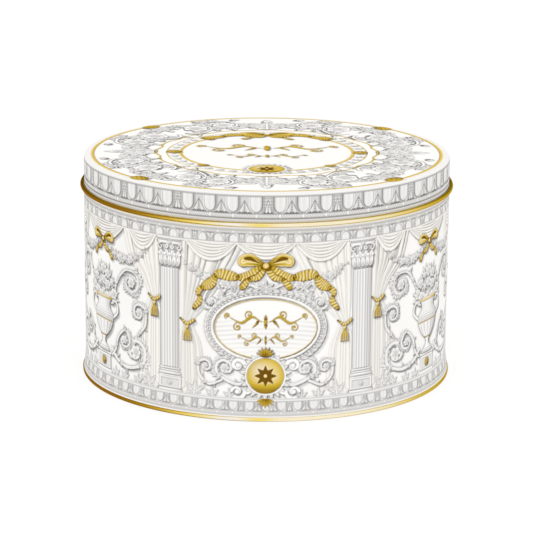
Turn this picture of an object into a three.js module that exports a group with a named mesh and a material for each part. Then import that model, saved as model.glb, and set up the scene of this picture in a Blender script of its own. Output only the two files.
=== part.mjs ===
// A shut round gift tin for a low one-kilogram festive loaf: a straight printed body, a base end
// seamed onto it, and a shallow slip-on lid whose lower edge is rolled outwards into a bead.
// Millimetres, +Z up. The origin is the centre of the foot, on the surface that the tin stands on.
import * as THREE from "three";

// Driving dimensions
const BEAD_DIAMETER = 240; // the widest part, across the lid's rolled bead
const TIN_HEIGHT = 143;
const LID_DEPTH = 20.85; // from the lid's flat top to the underside of its bead
const BEAD_SECTION = 2.9; // height of the rolled bead
const BEAD_STANDS_PROUD = 1.7; // how far the bead passes the lid's skirt
const SEAM_HEIGHT = 2.7; // the double seam that joins base and body
const SEAM_STANDS_PROUD = 2.1; // how far that seam passes the body wall
const LID_SHEET = 0.5; // sheet thickness, a little over the real tinplate
const FIT = 0.3; // slip gap between two sheets
const SHOULDER = 2.0; // radius of the lid's top edge
const BASE_RECESS = 3.0; // how far the base panel is drawn up above the foot
const SIDES = 96;

// Worked out from them
const lidRadius = BEAD_DIAMETER / 2 - BEAD_STANDS_PROUD;
const lidInner = lidRadius - LID_SHEET;
const bodyRadius = lidInner - FIT;
const beadRadius = BEAD_SECTION / 2;
const beadCentre = {
  r: BEAD_DIAMETER / 2 - beadRadius,
  z: TIN_HEIGHT - LID_DEPTH + beadRadius,
};
const seamRadius = bodyRadius + SEAM_STANDS_PROUD;
const seamSheet = 0.6;
const seamRound = 0.9;
const channelOuter = bodyRadius + FIT;
const channelFloor = 0.9;
const hookWidth = 2.2; // width of the body's lower edge, held in the seam
const hookInner = bodyRadius - hookWidth;
const chuckOuter = hookInner - FIT;
const chuckInner = chuckOuter - seamSheet;
const panelTop = BASE_RECESS + 0.4;

const PRINT_WHITE = 0xf3f1ed;
const GOLD = 0xc49a2e;

const point = (r, z) => new THREE.Vector2(r, z);

// Points along a round edge, from one angle to another in degrees, both ends included
function roundEdge(r, z, radius, from, to, steps) {
  const points = [];
  for (let i = 0; i <= steps; i += 1) {
    const a = THREE.MathUtils.degToRad(from + ((to - from) * i) / steps);
    points.push(point(r + radius * Math.cos(a), z + radius * Math.sin(a)));
  }
  return points;
}

// Turns a profile that begins and ends on the axis into a solid of revolution about Z
function turned(name, profile, material) {
  const geometry = new THREE.LatheGeometry(profile, SIDES);
  geometry.rotateX(Math.PI / 2);
  const mesh = new THREE.Mesh(geometry, material);
  mesh.name = name;
  return mesh;
}

const printedSheet = new THREE.MeshStandardMaterial({
  color: PRINT_WHITE,
  roughness: 0.35,
  metalness: 0.1,
});
const goldLacquer = new THREE.MeshStandardMaterial({
  color: GOLD,
  roughness: 0.25,
  metalness: 1.0,
});

// The base end: a panel drawn up above the foot, and round it the double seam, a channel that holds
// the lower edge of the body
function baseEnd() {
  const profile = [
    point(0, BASE_RECESS),
    point(chuckInner, BASE_RECESS),
    point(chuckInner, 0.4),
    point(chuckInner + 0.4, 0),
    ...roundEdge(seamRadius - seamRound, seamRound, seamRound, -90, 0, 4),
    ...roundEdge(seamRadius - seamRound, SEAM_HEIGHT - seamRound, seamRound, 0, 90, 4),
    point(channelOuter, SEAM_HEIGHT - 0.15),
    point(channelOuter, channelFloor),
    point(chuckOuter, channelFloor),
    point(chuckOuter, panelTop),
    point(0, panelTop),
  ];
  return turned("base_end", profile, goldLacquer);
}

// The body: shut and full, so it is solid; its lower edge reaches down into the seam's channel and
// its top lies just under the lid's panel
function tinBody() {
  const top = TIN_HEIGHT - LID_SHEET - FIT;
  const bottom = panelTop + FIT;
  const profile = [
    point(0, bottom),
    point(hookInner, bottom),
    point(hookInner, channelFloor + FIT),
    point(bodyRadius, channelFloor + FIT),
    point(bodyRadius, TIN_HEIGHT - LID_DEPTH - 1),
    point(bodyRadius, top - 2 * SHOULDER),
    ...roundEdge(bodyRadius - SHOULDER, top - SHOULDER, SHOULDER, 0, 90, 3),
    point(0, top),
  ];
  return turned("tin_body", profile, printedSheet);
}

// The angle on the bead's round section, in degrees, where it meets a wall of this radius
function angleAt(wallRadius) {
  return THREE.MathUtils.radToDeg(Math.acos((wallRadius - beadCentre.r) / beadRadius));
}

// The lid: one drawn sheet, with a flat top, a rounded shoulder, a straight skirt, and the skirt's
// edge rolled outwards into a bead
function lid() {
  const outerJoin = angleAt(lidRadius);
  const innerJoin = 360 - angleAt(lidInner);
  const innerShoulder = SHOULDER - LID_SHEET;
  const profile = [
    point(0, TIN_HEIGHT - LID_SHEET),
    ...roundEdge(lidRadius - SHOULDER, TIN_HEIGHT - SHOULDER, innerShoulder, 90, 0, 4),
    ...roundEdge(beadCentre.r, beadCentre.z, beadRadius, innerJoin, 360 + outerJoin, 14),
    ...roundEdge(lidRadius - SHOULDER, TIN_HEIGHT - SHOULDER, SHOULDER, 0, 90, 6),
    point(0, TIN_HEIGHT),
  ];
  return turned("lid", profile, printedSheet);
}

const tin = new THREE.Group();
tin.add(baseEnd(), tinBody(), lid());

export default tin;
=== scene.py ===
from math import acos, cos, degrees, pi, radians, sin, sqrt, tau

import bmesh
import bpy
import numpy as np
from mathutils import Matrix, Quaternion, Vector


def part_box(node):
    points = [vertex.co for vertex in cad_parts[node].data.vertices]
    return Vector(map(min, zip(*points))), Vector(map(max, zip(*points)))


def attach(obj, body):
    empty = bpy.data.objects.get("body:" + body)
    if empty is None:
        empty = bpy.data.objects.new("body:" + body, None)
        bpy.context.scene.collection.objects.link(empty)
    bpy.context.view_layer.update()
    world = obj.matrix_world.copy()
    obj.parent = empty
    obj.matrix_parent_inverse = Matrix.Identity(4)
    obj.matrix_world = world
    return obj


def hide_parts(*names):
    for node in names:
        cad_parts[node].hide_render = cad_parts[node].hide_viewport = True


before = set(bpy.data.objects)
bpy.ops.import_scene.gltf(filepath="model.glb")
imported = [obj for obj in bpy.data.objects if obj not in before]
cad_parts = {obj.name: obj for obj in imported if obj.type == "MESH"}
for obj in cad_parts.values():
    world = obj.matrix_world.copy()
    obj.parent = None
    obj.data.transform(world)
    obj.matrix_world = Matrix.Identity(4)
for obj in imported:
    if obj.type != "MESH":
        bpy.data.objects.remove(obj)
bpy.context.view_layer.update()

# Camera, floor and light: a plain studio, all white, for a product picture. The eye is 1.6 metres away
# and looks a little down on the lid. The tin stands on a pale sheet that runs out of sight.
mm = 0.001
picture_side = 533
eye_distance = 1606 * mm
eye_pitch = radians(14.63)
eye_roll = radians(0.37)
focal_pixels = 2468
sensor = 36
look_at = Vector((0, 0, 70 * mm))
look_at_pixel = (266.2, 261.8)

camera_data = bpy.data.cameras.new("camera")
camera_data.sensor_width = sensor
camera_data.lens = focal_pixels / picture_side * sensor
camera_data.shift_x = (picture_side / 2 - look_at_pixel[0]) / picture_side
camera_data.shift_y = (look_at_pixel[1] - picture_side / 2) / picture_side
camera = bpy.data.objects.new("camera", camera_data)
camera.location = look_at + eye_distance * Vector((0, -cos(eye_pitch), sin(eye_pitch)))
aim = (look_at - camera.location).to_track_quat("-Z", "Y")
camera.rotation_euler = (aim @ Quaternion((0, 0, 1), eye_roll)).to_euler()
bpy.context.collection.objects.link(camera)
bpy.context.scene.camera = camera


def new_material(name, **sockets):
    """A Principled material with these plain socket values, and its shader node"""
    material = bpy.data.materials.new(name)
    material.use_nodes = True
    shader = material.node_tree.nodes["Principled BSDF"]
    for socket, value in sockets.items():
        shader.inputs[socket.replace("_", " ")].default_value = value
    return material, shader


def feed(tree, socket, value):
    """Links another node's output to a socket, or sets the socket to a plain value"""
    if isinstance(value, bpy.types.NodeSocket):
        tree.links.new(value, socket)
    else:
        socket.default_value = value


def math_node(tree, operation, *values, clamp=False):
    """A Math node fed by sockets or plain numbers; gives its output socket"""
    node = tree.nodes.new("ShaderNodeMath")
    node.operation = operation
    node.use_clamp = clamp
    for socket, value in zip(node.inputs, values):
        feed(tree, socket, value)
    return node.outputs[0]


floor_reach = 7.0
floor_gap = 0.1 * mm
floor_mesh = bmesh.new()
bmesh.ops.create_grid(floor_mesh, x_segments=1, y_segments=1, size=floor_reach)
bmesh.ops.translate(floor_mesh, verts=floor_mesh.verts, vec=(0, 0, -floor_gap))
floor_data = bpy.data.meshes.new("floor")
floor_mesh.to_mesh(floor_data)
floor_mesh.free()
floor = bpy.data.objects.new("floor", floor_data)
bpy.context.collection.objects.link(floor)
floor_paper = new_material(
    "floor_paper",
    Base_Color=(0.2, 0.2, 0.2, 1),
    Roughness=0.9,
    Specular_IOR_Level=0.0,
    Emission_Color=(1, 1, 1, 1),
    Emission_Strength=0.81,
)[0]
floor_data.materials.append(floor_paper)
floor.visible_glossy = False

world = bpy.data.worlds.new("studio")
bpy.context.scene.world = world
world.use_nodes = True
sky_tree = world.node_tree
sky_tree.nodes.clear()
direction = sky_tree.nodes.new("ShaderNodeTexCoord").outputs["Generated"]
split = sky_tree.nodes.new("ShaderNodeSeparateXYZ")
sky_tree.links.new(direction, split.inputs[0])
towards_eye = math_node(sky_tree, "MULTIPLY", split.outputs["Y"], -1.0)
bearing = math_node(sky_tree, "ARCTAN2", split.outputs["X"], towards_eye)
bearing = math_node(sky_tree, "MULTIPLY_ADD", bearing, 1 / tau, 0.5)
# What the gold sees, by bearing in degrees from straight in front, plus to the right: amber card
# behind and to the left, a bright window left of the front, and white card round to the right
cards = (
    (-180, (0.26, 0.15, 0.02)),
    (-163, (0.38, 0.25, 0.04)),
    (-98, (0.39, 0.26, 0.03)),
    (-80, (0.58, 0.45, 0.05)),
    (-62, (0.93, 0.86, 0.34)),
    (-49, (1.27, 1.30, 0.80)),
    (-38, (1.30, 1.56, 2.2)),
    (-25, (1.28, 1.72, 5.4)),
    (-17, (1.38, 1.74, 4.6)),
    (-9, (1.36, 1.46, 0.95)),
    (-2, (1.34, 1.42, 0.85)),
    (9, (1.42, 1.72, 3.8)),
    (62, (1.34, 1.68, 3.8)),
    (86, (1.22, 1.45, 2.4)),
    (102, (1.14, 1.16, 0.95)),
    (114, (0.93, 0.90, 0.45)),
    (134, (0.80, 0.76, 0.24)),
    (146, (0.65, 0.61, 0.09)),
    (163, (0.62, 0.58, 0.08)),
    (180, (0.50, 0.42, 0.06)),
)
ramp = sky_tree.nodes.new("ShaderNodeValToRGB")
brightest = 6.0
for place, (angle, colour) in enumerate(cards):
    where = (angle + 180) / 360
    stop = ramp.color_ramp.elements[place] if place < 2 else ramp.color_ramp.elements.new(where)
    stop.position = where
    stop.color = (*(c / brightest for c in colour), 1)
sky_tree.links.new(bearing, ramp.inputs[0])
seen_by = sky_tree.nodes.new("ShaderNodeLightPath")
white = (1, 1, 1, 1)
light_on_print = 1.04
backgrounds = []
for colour, strength in ((ramp.outputs[0], brightest), (white, light_on_print), (white, 1.0)):
    background = sky_tree.nodes.new("ShaderNodeBackground")
    feed(sky_tree, background.inputs["Strength"], strength)
    feed(sky_tree, background.inputs["Color"], colour)
    backgrounds.append(background.outputs[0])
in_gold, on_print, straight = backgrounds
shading = on_print
for ray, light in (("Is Glossy Ray", in_gold), ("Is Camera Ray", straight)):
    choice = sky_tree.nodes.new("ShaderNodeMixShader")
    sky_tree.links.new(seen_by.outputs[ray], choice.inputs[0])
    sky_tree.links.new(shading, choice.inputs[1])
    sky_tree.links.new(light, choice.inputs[2])
    shading = choice.outputs[0]
sky_tree.links.new(shading, sky_tree.nodes.new("ShaderNodeOutputWorld").inputs["Surface"])

softbox_data = bpy.data.lights.new("softbox", "AREA")
softbox_data.size = 1.6
softbox_data.energy = 4.0
softbox = bpy.data.objects.new("softbox", softbox_data)
softbox.location = (0, -1.6, 1.9)
softbox.rotation_euler = (look_at - softbox.location).to_track_quat("-Z", "Y").to_euler()
softbox.visible_glossy = False
bpy.context.collection.objects.link(softbox)
bpy.context.scene.view_settings.view_transform = "Standard"


# The base end: a round of tinplate lacquered gold on both sides, pressed with three expansion rings
# and seamed onto the foot of the body. The double seam stands proud of the wall and is what shows.
def arc_points(r, z, radius, first, last, steps):
    """Points of a round edge in the (radius, height) plane, angles in degrees"""
    turns = [radians(first + (last - first) * i / steps) for i in range(steps + 1)]
    return [(r + radius * cos(a), z + radius * sin(a)) for a in turns]


joined_within = 0.002 * mm
sharp_from = radians(40)


def spun(name, section, steps, copies, cuts=0, closed=True, start=0.0, arc=tau):
    """A section of (radius, height) points in millimetres turned about the tin's axis from an angle
    that is 0 at the front. The first edge of the section is divided by the cuts. A short arc of some
    steps is spun, then copied round, which is far quicker than one long spin."""
    bm = bmesh.new()
    ends = [bm.verts.new((r * sin(start) * mm, -r * cos(start) * mm, z * mm)) for r, z in section]
    pairs = list(zip(ends, ends[1:])) + ([(ends[-1], ends[0])] if closed else [])
    edges = [bm.edges.new(pair) for pair in pairs]
    if cuts:
        bmesh.ops.subdivide_edges(bm, edges=edges[:1], cuts=cuts)
    bmesh.ops.spin(bm, geom=bm.verts[:] + bm.edges[:], cent=(0, 0, 0), axis=(0, 0, 1),
                   angle=arc / copies, steps=steps)
    first = bm.verts[:] + bm.edges[:] + bm.faces[:]
    for copy in range(1, copies):
        made = bmesh.ops.duplicate(bm, geom=first)["geom"]
        bmesh.ops.rotate(bm, verts=[v for v in made if isinstance(v, bmesh.types.BMVert)],
                         cent=(0, 0, 0), matrix=Matrix.Rotation(copy * arc / copies, 3, "Z"))
    bmesh.ops.remove_doubles(bm, verts=bm.verts, dist=joined_within)
    if arc < tau:
        bmesh.ops.holes_fill(bm, edges=[e for e in bm.edges if e.is_boundary], sides=0)
    bmesh.ops.recalc_face_normals(bm, faces=bm.faces)
    data = bpy.data.meshes.new(name)
    bm.to_mesh(data)
    bm.free()
    data.shade_smooth()
    data.set_sharp_from_angle(angle=sharp_from)
    piece = bpy.data.objects.new(name, data)
    bpy.context.collection.objects.link(piece)
    return piece


def finish_piece(piece, material, slot, *nodes):
    piece.data.materials.append(material)
    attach(piece, "root")
    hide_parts(*nodes)


def new_group(name, inputs, outputs):
    """A shader group with these sockets, as (kind, name, value) and (kind, name)"""
    tree = bpy.data.node_groups.new(name, "ShaderNodeTree")
    for kind, socket, *value in inputs:
        made = tree.interface.new_socket(socket, in_out="INPUT", socket_type=f"NodeSocket{kind}")
        if value:
            made.default_value = value[0]
    for kind, socket in outputs:
        tree.interface.new_socket(socket, in_out="OUTPUT", socket_type=f"NodeSocket{kind}")
    return tree, tree.nodes.new("NodeGroupInput").outputs, tree.nodes.new("NodeGroupOutput").inputs


def place_group(material, tree, **values):
    node = material.node_tree.nodes.new("ShaderNodeGroup")
    node.node_tree = tree
    for socket, value in values.items():
        node.inputs[socket.replace("_", " ")].default_value = value
    return node


def mix_colours(tree, factor, first, second):
    node = tree.nodes.new("ShaderNodeMix")
    node.data_type = "RGBA"
    for socket, value in zip((0, 6, 7), (factor, first, second)):
        feed(tree, node.inputs[socket], value)
    return node.outputs[2]


def noise(tree, scale, detail=2.0, stretch=(1, 1, 1)):
    """Noise on the object's own coordinates, in metres; gives a 0 to 1 socket"""
    spots = tree.nodes.new("ShaderNodeTexNoise")
    spots.inputs["Scale"].default_value = scale
    spots.inputs["Detail"].default_value = detail
    mapping = tree.nodes.new("ShaderNodeMapping")
    mapping.inputs["Scale"].default_value = stretch
    own = tree.nodes.new("ShaderNodeTexCoord").outputs["Object"]
    tree.links.new(own, mapping.inputs["Vector"])
    tree.links.new(mapping.outputs[0], spots.inputs["Vector"])
    return spots.outputs[0]


# Roller coat: the faint orange peel that lacquer and varnish leave on sheet, with a finer tooth in it
roller_coat, coat_in, coat_out = new_group(
    "roller_coat",
    [("Float", "Peel", 0.6), ("Float", "Gloss", 0.3), ("Float", "Gloss change", 0.08)],
    [("Float", "Height"), ("Float", "Roughness")],
)
peel = math_node(roller_coat, "MULTIPLY", noise(roller_coat, 420), coat_in["Peel"])
tooth = math_node(roller_coat, "MULTIPLY", noise(roller_coat, 2600), 0.25)
roller_coat.links.new(math_node(roller_coat, "ADD", peel, tooth), coat_out["Height"])
coat_depth = 0.00002
dulling = math_node(roller_coat, "SUBTRACT", noise(roller_coat, 60, 4.0), 0.5)
dulling = math_node(roller_coat, "MULTIPLY", dulling, coat_in["Gloss change"])
roller_coat.links.new(math_node(roller_coat, "ADD", dulling, coat_in["Gloss"]), coat_out["Roughness"])


def coat(material, shader, **values):
    """Puts the roller coat on a material: its roughness, and its height through a Bump node"""
    tree = material.node_tree
    skin = place_group(material, roller_coat, **values)
    bump = tree.nodes.new("ShaderNodeBump")
    bump.inputs["Distance"].default_value = coat_depth
    bump.inputs["Strength"].default_value = 1.0
    tree.links.new(skin.outputs["Height"], bump.inputs["Height"])
    tree.links.new(bump.outputs[0], shader.inputs["Normal"])
    tree.links.new(skin.outputs["Roughness"], shader.inputs["Roughness"])


gold_lacquer, gold_shader = new_material("gold_lacquer", Metallic=1.0, Coat_Weight=0.05,
                                         Specular_Tint=(1.0, 0.8, 0.35, 1), Coat_Roughness=0.08)
gold_tree = gold_lacquer.node_tree
streaks = noise(gold_tree, 90, 3.0, (1, 1, 14))
lacquer = mix_colours(gold_tree, streaks, (0.65, 0.47, 0.14, 1), (0.73, 0.54, 0.19, 1))
painted_fold_shade = gold_tree.nodes.new("ShaderNodeAttribute")
painted_fold_shade.attribute_name = "painted_fold_shade"
# Painted shade: the lacquer is mixed towards near black by the bead's attribute, along the crease
# between the roll and the skirt, where shade falls
lacquer = mix_colours(gold_tree, painted_fold_shade.outputs["Fac"], lacquer, (0.07, 0.035, 0.008, 1))
gold_tree.links.new(lacquer, gold_shader.inputs["Base Color"])
coat(gold_lacquer, gold_shader, Gloss=0.17, Gloss_change=0.1)

body_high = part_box("tin_body")[1]
base_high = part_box("base_end")[1]
wall_radius = body_high.x / mm
seam_radius = base_high.x / mm
seam_height = 2.65
seam_round = 1.0
panel_height = 3.0
hook_inner = 115.0
hook_height = 1.2
chuck_inner = 114.4
chuck_round = 0.8
lip_round = 0.5
ring_flat = 2.4
ring_round = 1.2
base_sheet = 0.4
base_section = [(0, panel_height)]
for ring_radius in (52, 78, 100):
    base_section += [(ring_radius - ring_flat, panel_height)]
    base_section += [(r, panel_height + 2 * (z - panel_height) / 3)
                     for r, z in arc_points(ring_radius, panel_height, ring_round, 180, 0, 8)]
    base_section += [(ring_radius + ring_flat, panel_height)]
base_section += arc_points(chuck_inner - chuck_round, panel_height - chuck_round, chuck_round, 90, 0, 5)
base_section += [(chuck_inner, lip_round)]
base_section += arc_points(chuck_inner + lip_round, lip_round, lip_round, 180, 270, 5)[1:]
base_section += arc_points(seam_radius - seam_round, seam_round, seam_round, -90, 0, 8)
base_section += arc_points(seam_radius - seam_round, seam_height - seam_round, seam_round, 0, 90, 8)
base_section += [(wall_radius - base_sheet, seam_height - 0.1), (wall_radius - base_sheet, hook_height),
                 (hook_inner, hook_height), (hook_inner, panel_height + base_sheet),
                 (0, panel_height + base_sheet)]
base_seam = spun("base_seam", base_section, steps=48, copies=8, closed=False)
finish_piece(base_seam, gold_lacquer, "gold_lacquer", "base_end")

# The printed foot of the body: an egg and dart moulding between two ledges, drawn in grey on white
# enamel. The whole body is one sheet, printed flat in grey, cream and gold, lightly embossed along
# the drawing, then rolled round and varnished.
class Artwork:
    """A flat stretch of the print, across and up in millimetres, drawn finer than the sheet's own
    grid: the engraver's relief, the grey ink, and where cream and gold are laid"""

    def __init__(self, left, right, low, high, fine):
        self.left, self.low, self.fine = left, low, fine
        self.width = right - left
        shape = (round((high - low) * fine), round((right - left) * fine))
        self.relief, self.ink, self.gold, self.cream = (np.zeros(shape, np.float32) for _ in range(4))
        rows, columns = np.mgrid[: shape[0], : shape[1]]
        self.u = ((columns + 0.5) / fine + left).astype(np.float32)
        self.v = ((rows + 0.5) / fine + low).astype(np.float32)

    def lay(self, where, cover, relief, ink=0.0, gold=0.0, cream=0.0):
        """Lays one shape over what is there; cover is 1 on it and 0 off it"""
        layers = ((self.relief, relief), (self.ink, ink), (self.gold, gold), (self.cream, cream))
        for layer, value in layers:
            layer[where] += (value - layer[where]) * cover

    def darken(self, cover, tone):
        """A line or a wash over the whole stretch, never lighter than what is there"""
        self.ink += (np.maximum(self.ink, tone) - self.ink) * cover


everywhere = (slice(None), slice(None))


def stroke(distance, width, soft=0.12):
    """1 on a drawn line of this width, fading to 0 beside it"""
    return np.clip((width / 2 + soft - np.abs(distance)) / soft, 0, 1)


def bell(distance, width):
    return np.exp(-((distance / width) ** 2))


def dome(share):
    """The height of a half round at this share of its half width"""
    return np.sqrt(np.clip(1 - share**2, 0, 1))


def egg_and_dart(art, eggs, darts, reeds, low, high, egg, scale):
    """Eggs whose round ends are at low, which may lie above high, with darts and reeds between them.
    Lines are drawn by the height h, the place across x and the distance d from the nearest egg, all
    in drawing millimetres."""
    up = 1 if high > low else -1
    h = up * (art.v - low) / scale
    rows = (h > 0) & (h < abs(high - low) / scale)
    nearest = np.asarray(eggs)[np.abs(art.u[0][:, None] - np.asarray(eggs)).argmin(1)]
    x = (art.u - nearest) / scale
    half = egg / scale
    tall = 1.45 * half
    share = np.hypot(x / half, np.minimum(h - tall - 0.8, 0) / tall)
    d = (share - 1) * half
    lit_from = np.where(nearest < 0, -1, 1)
    shade = np.clip(-x / half * lit_from, -1, 1)
    dark = np.clip(shade, 0, 1)
    inner = 0.02 + 0.08 * bell(shade + 0.1, 0.5) + 0.3 * np.clip((shade - 0.4) / 0.6, 0, 1) ** 1.5
    ink = np.select([d < -0.2, d < 0.45, d < 1.3],
                    [inner, 0.52 + 0.2 * shade, 0.08 + 0.32 * dark**2], 0.17)
    ink = np.maximum(ink, 0.42 * stroke(d - 1.45, 0.25))
    relief = np.where(d < 0.3, 0.35 + 0.9 * dome(share), np.where(d < 1.6, 0.6, 0.3))

    def toes(x):
        return h < 0.4 + 0.7 * np.abs(np.cos(pi * x / 2.1))

    scalloped = toes(x)
    dots = 0.55 + 0.45 * np.cos(tau * h / 1.35)
    dart_top, reed_top = 8.2, 8.6
    for centre in darts:
        x = np.abs(art.u - centre) / scale
        climb = np.clip(1 - h / dart_top, 0, 1)
        side = 3.8 * climb + 1.8 * climb**5
        dart = (x < side) & (d > 0.9)
        ink = np.where(dart, np.where(x < 0.4 * side, 0.24, 0.10), ink)
        ink = np.where(dart & (h > 1.0), np.maximum(ink, 0.95 * dots * stroke(x, 0.55)), ink)
        ink = np.maximum(ink, 0.68 * stroke(x - side, 0.42) * (d > 0.9) * (h < dart_top))
        ink = np.maximum(ink, 0.34 * stroke(x - 0.75, 0.4) * (h > dart_top))
        ink = np.where((x < 4.6) & (d > 0.7) & scalloped, 0.85, ink)
        relief = np.where(dart, 0.45, relief)
    for centre in reeds:
        x = np.abs(art.u - centre) / scale
        reed = x < 3.0
        tower = 2.3 * np.clip(1 - h / reed_top, 0, 1) ** 0.9
        ink = np.where(reed, 0.26 + 0.16 * np.cos(tau * h / 1.9), ink)
        ink = np.where(x < tower, 0.04, ink)
        ink = np.where((x < tower) & (h < 6), np.maximum(ink, 0.9 * dots * stroke(x, 0.55)), ink)
        ink = np.maximum(ink, 0.6 * stroke(x - tower, 0.4) * (h < reed_top))
        for line in (2.15, 3.05):
            ink = np.maximum(ink, 0.58 * stroke(x - line, 0.35))
        ink = np.where((x < 3.1) & toes(x), 0.85, ink)
        relief = np.where(reed, 0.5, relief)
    ink = np.maximum(ink, 0.5 * stroke(h - abs(high - low) / scale + 0.2, 0.4))
    art.lay(everywhere, rows, relief, ink)


def pearls(art, centres, height, radius_u, radius_v):
    for centre in centres:
        share = np.hypot((art.u - centre) / radius_u, (art.v - height) / radius_v)
        art.ink[share < 1.25] = 0.4
        art.lay(everywhere, share < 1, 0.4 + 0.6 * dome(share), 0.0)


# The printed face stands a tenth of a millimetre outside the solid's wall
wall_face = wall_radius + 0.1
wall_groups = 24
group_width = tau * wall_face / wall_groups
small_groups = 25
small_group = tau * wall_face / small_groups
small_pitch = 9.55
small_egg = 2.6
small_scale = 0.66


def small_moulding(low, high, rounds, flats, pearl_row, rules):
    """The moulding along the foot and under the lid: three eggs to a group, and a row of pearls. Each
    rule has its height, width, ink and rise."""
    art = Artwork(-small_group / 2, small_group / 2, low, high, 10)
    art.ink[:] = 0.05
    eggs = [small_pitch * k for k in (-1, 0, 1)]
    egg_and_dart(art, eggs, (-small_pitch / 2, small_pitch / 2), (-small_group / 2, small_group / 2),
                 rounds, flats, small_egg, small_scale)
    art.ink[:] = 0.02 + 0.9 * art.ink
    strip = np.abs(art.v - pearl_row) < 0.75
    art.ink[strip] = 0.14 + 0.1 * np.cos(tau * art.u[strip] / (small_pitch / 6)) ** 2
    for height, width, tone, rise in rules:
        line = stroke(art.v - height, width, 0.12 if width < 1 else 0.4)
        art.darken(line, tone)
        art.relief += (rise - art.relief) * line
    pearls(art, eggs, pearl_row, 0.7, 0.55)
    return art


def blended(layer, times):
    """Blends each cell a little with its neighbours, as ink spreads"""
    for _ in range(times):
        for axis in (0, 1):
            layer = (np.roll(layer, 1, axis) + 2 * layer + np.roll(layer, -1, axis)) / 4
    return layer


emboss = 0.085
on_face_within = 0.1
LAYERS = ("ink", "gold", "cream")


def corners(piece):
    """The piece's vertices in millimetres, with their angle from the front and their radius"""
    spots = np.empty(3 * len(piece.data.vertices), np.float32)
    piece.data.vertices.foreach_get("co", spots)
    spots = spots.reshape(-1, 3) / mm
    return spots, np.arctan2(spots[:, 0], -spots[:, 1]), np.hypot(spots[:, 0], spots[:, 1])


def move_corners(piece, spots):
    piece.data.vertices.foreach_set("co", (spots * mm).astype(np.float32).ravel())
    piece.data.update()


def from_axis(spots, radius):
    """The way out from the tin's axis at each vertex"""
    return np.stack([spots[:, 0] / radius, spots[:, 1] / radius, 0 * radius], 1)


def angle_from(middle, angle):
    """Angles from this one, half a turn to each side at most"""
    return (angle - middle + pi) % tau - pi


def print_on(piece, art, across, up, on_face, outwards):
    """Lays the artwork on the printed face of a piece, repeating it along, and raises the emboss.
    Across and up place each corner on the artwork; outwards is the way the face looks there."""
    spots = corners(piece)[0]
    # The finer drawings are blended over more of their smaller cells
    spread = 1 if art.fine < 8 else 3
    column = ((across - art.left) % art.width * art.fine).astype(int) % art.ink.shape[1]
    row = np.clip(((up - art.low) * art.fine).astype(int), 0, art.ink.shape[0] - 1)
    for name in LAYERS:
        values = np.where(on_face, blended(getattr(art, name), spread)[row, column], 0)
        layer = piece.data.attributes.new(name, "FLOAT", "POINT")
        layer.data.foreach_set("value", values.astype(np.float32))
    height = emboss * np.tanh(blended(art.relief, spread + 2)[row, column]) * on_face
    move_corners(piece, spots + outwards * height[:, None])


def lay_flat(piece, across, up, on_face, rows=1, closes=False):
    """The map that the print is baked through: the printed face unrolled in rows, one over another,
    and the bare back and edges in a strip along the top"""
    data = piece.data
    corner = np.empty(len(data.loops), np.int32)
    data.loops.foreach_get("vertex_index", corner)
    first = np.empty(len(data.polygons), np.int32)
    data.polygons.foreach_get("loop_start", first)
    count = np.diff(np.append(first, len(corner)))
    face = np.repeat(np.arange(len(first)), count)
    a = (across - across.min())[corner]
    length = a.max()
    if closes:
        length = length * (1 + 1 / len(np.unique(np.round(across, 3))))
        wide = (np.maximum.reduceat(a, first) - np.minimum.reduceat(a, first) > length / 2)[face]
        a = np.where(wide & (a < length / 2), a + length, a)
    b = np.clip((up - up[on_face].min()) / np.ptp(up[on_face]), 0, 1)[corner]
    row = (np.add.reduceat(a, first) / count / (length / rows)).astype(int).clip(0, rows - 1)[face]
    margin, strip = 0.01 * rows, 0.94
    x = (a * rows / length - row).clip(0, 1)
    y = strip * (row + margin + (1 - 2 * margin) * b) / rows
    bare = (~np.logical_and.reduceat(on_face[corner], first))[face]
    spots, _, radius = corners(piece)
    z = spots[:, 2]
    depth = (radius - radius.min()) / np.ptp(radius) + (z - z.min()) / np.ptp(z)
    y = np.where(bare, strip + 0.01 + 0.024 * depth[corner], y)
    x = np.where(bare, (a / length).clip(0, 1), x)
    bake_map = data.uv_layers.new(name="OFBake")
    bake_map.data.foreach_set("uv", np.stack([x, y], 1).astype(np.float32).ravel())


print_inks, inks_in, inks_out = new_group(
    "print_inks",
    [("Float", "Ink"), ("Float", "Gold"), ("Float", "Cream"), ("Float", "Depth of ink", 0.62),
     *(("Color", name) for name in ("Enamel", "Cream enamel", "Gold light", "Gold deep"))],
    [("Color", "Color"), ("Float", "Metallic")],
)
paper = mix_colours(print_inks, inks_in["Cream"], inks_in["Enamel"], inks_in["Cream enamel"])
covered = math_node(print_inks, "MULTIPLY", inks_in["Ink"], inks_in["Depth of ink"])
light_left = math_node(print_inks, "SUBTRACT", 1.0, covered)
light_left = math_node(print_inks, "POWER", light_left, 2.2)
grey = mix_colours(print_inks, light_left, (0.012, 0.011, 0.010, 1), paper)
shadow = math_node(print_inks, "MULTIPLY_ADD", inks_in["Ink"], 1.45, 0.03, clamp=True)
gilt = mix_colours(print_inks, shadow, inks_in["Gold light"], inks_in["Gold deep"])
print_inks.links.new(mix_colours(print_inks, inks_in["Gold"], grey, gilt), inks_out["Color"])
print_inks.links.new(math_node(print_inks, "MULTIPLY", inks_in["Gold"], 0.12), inks_out["Metallic"])

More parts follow.
